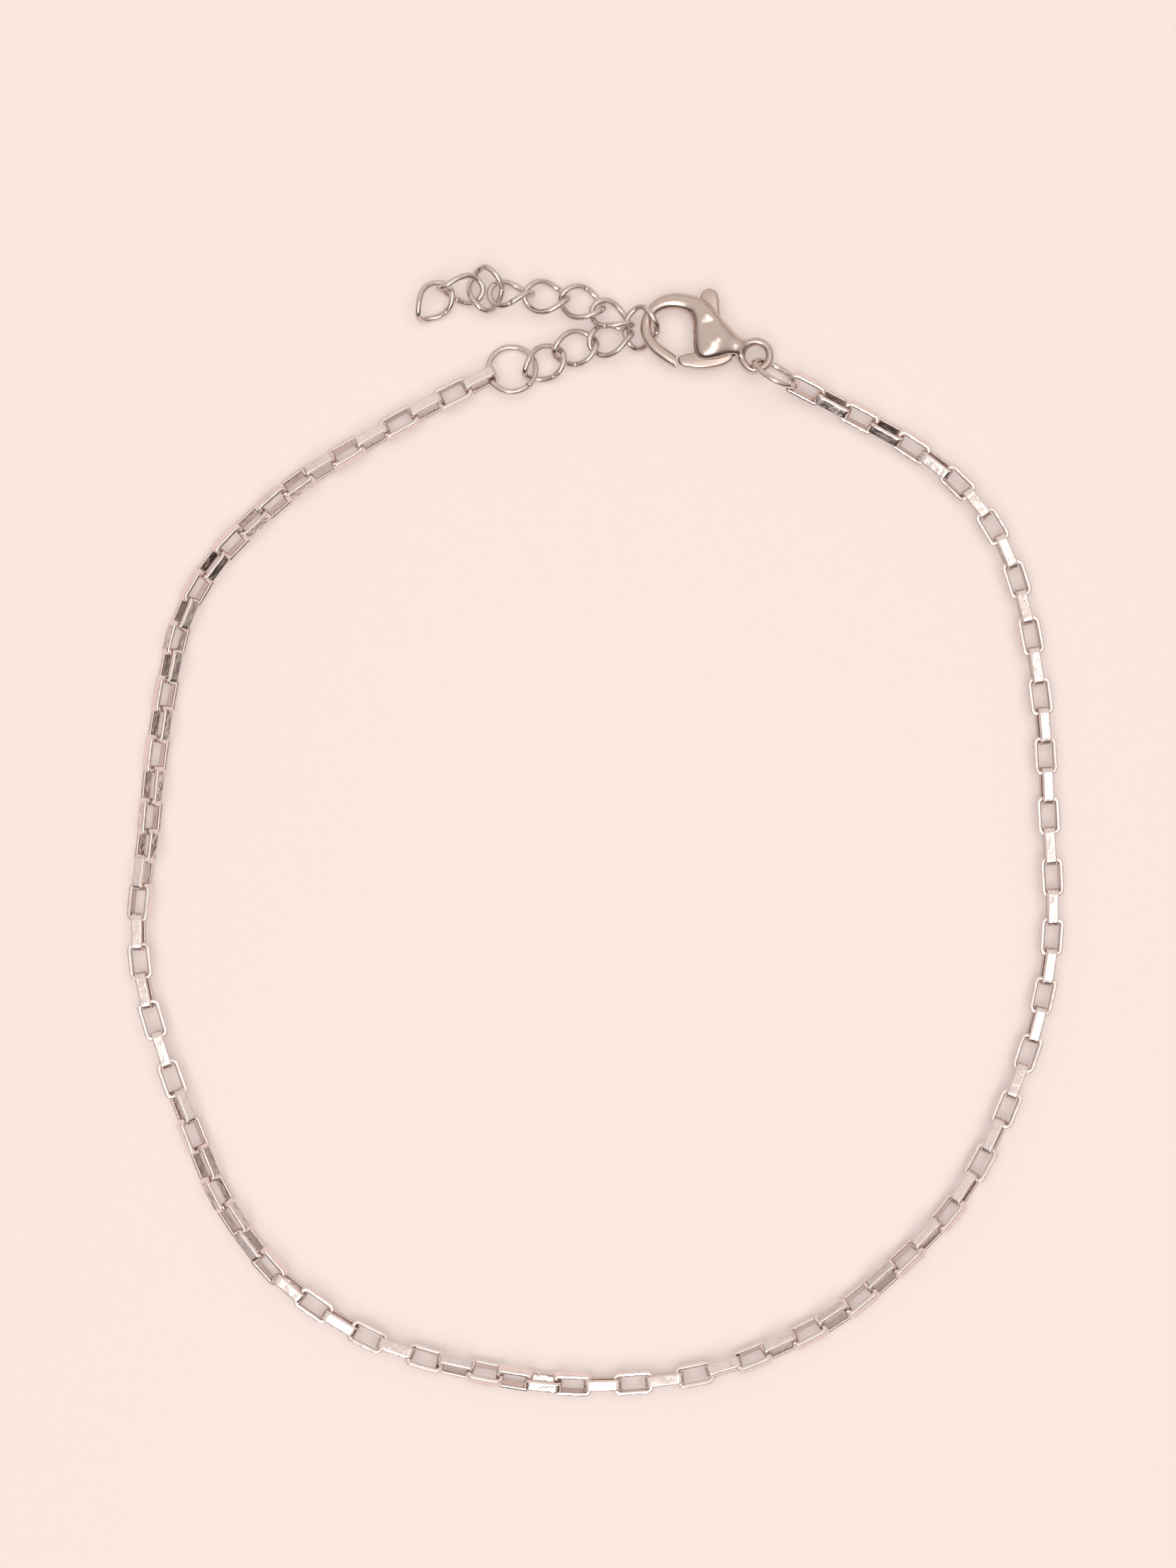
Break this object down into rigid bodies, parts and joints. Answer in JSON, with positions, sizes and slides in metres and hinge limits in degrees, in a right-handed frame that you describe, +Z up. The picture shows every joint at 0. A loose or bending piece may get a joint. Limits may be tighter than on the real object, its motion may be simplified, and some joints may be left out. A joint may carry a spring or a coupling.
{
  "type": "chain anklet",
  "caption": "Polished steel box-chain anklet laid out in an open loop, with a lobster clasp on one end and a twisted-link extender on the other.",
  "frame": {"origin": "bottom centre of the laid-out loop, on the table", "axes": "+Z up from the table, +Y from the front of the loop towards the clasp, +X to the right"},
  "size_m": [0.0732, 0.0884, 0.0038],
  "materials": {
    "strip_steel": "satin rolled strip with fine scratches",
    "wire_steel": "polished drawn wire",
    "cast_steel": "polished casting",
    "lever_steel": "polished pressing"
  },
  "bodies": {
    "anklet": {"box_chain_left": "strip_steel", "box_chain_right": "strip_steel", "extender_ring": "wire_steel", "clasp_ring": "wire_steel", "extender_link_01": "wire_steel", "extender_link_02": "wire_steel", "extender_link_03": "wire_steel", "extender_link_04": "wire_steel", "extender_link_05": "wire_steel", "extender_link_06": "wire_steel", "extender_link_07": "wire_steel", "extender_link_08": "wire_steel", "extender_link_09": "wire_steel", "extender_link_10": "wire_steel", "extender_link_11": "wire_steel", "clasp_body": "cast_steel"},
    "lever": {"clasp_lever": "lever_steel"}
  },
  "joints": [
    {"name": "clasp_lever_pivot", "type": "hinge", "parent": "anklet", "child": "lever", "pos_m": [0.00973, 0.03769, 0.00134], "axis": [0, 0, -1], "range_deg": [0, 22], "stiffness_Nm_per_rad": 0.01}
  ]
}
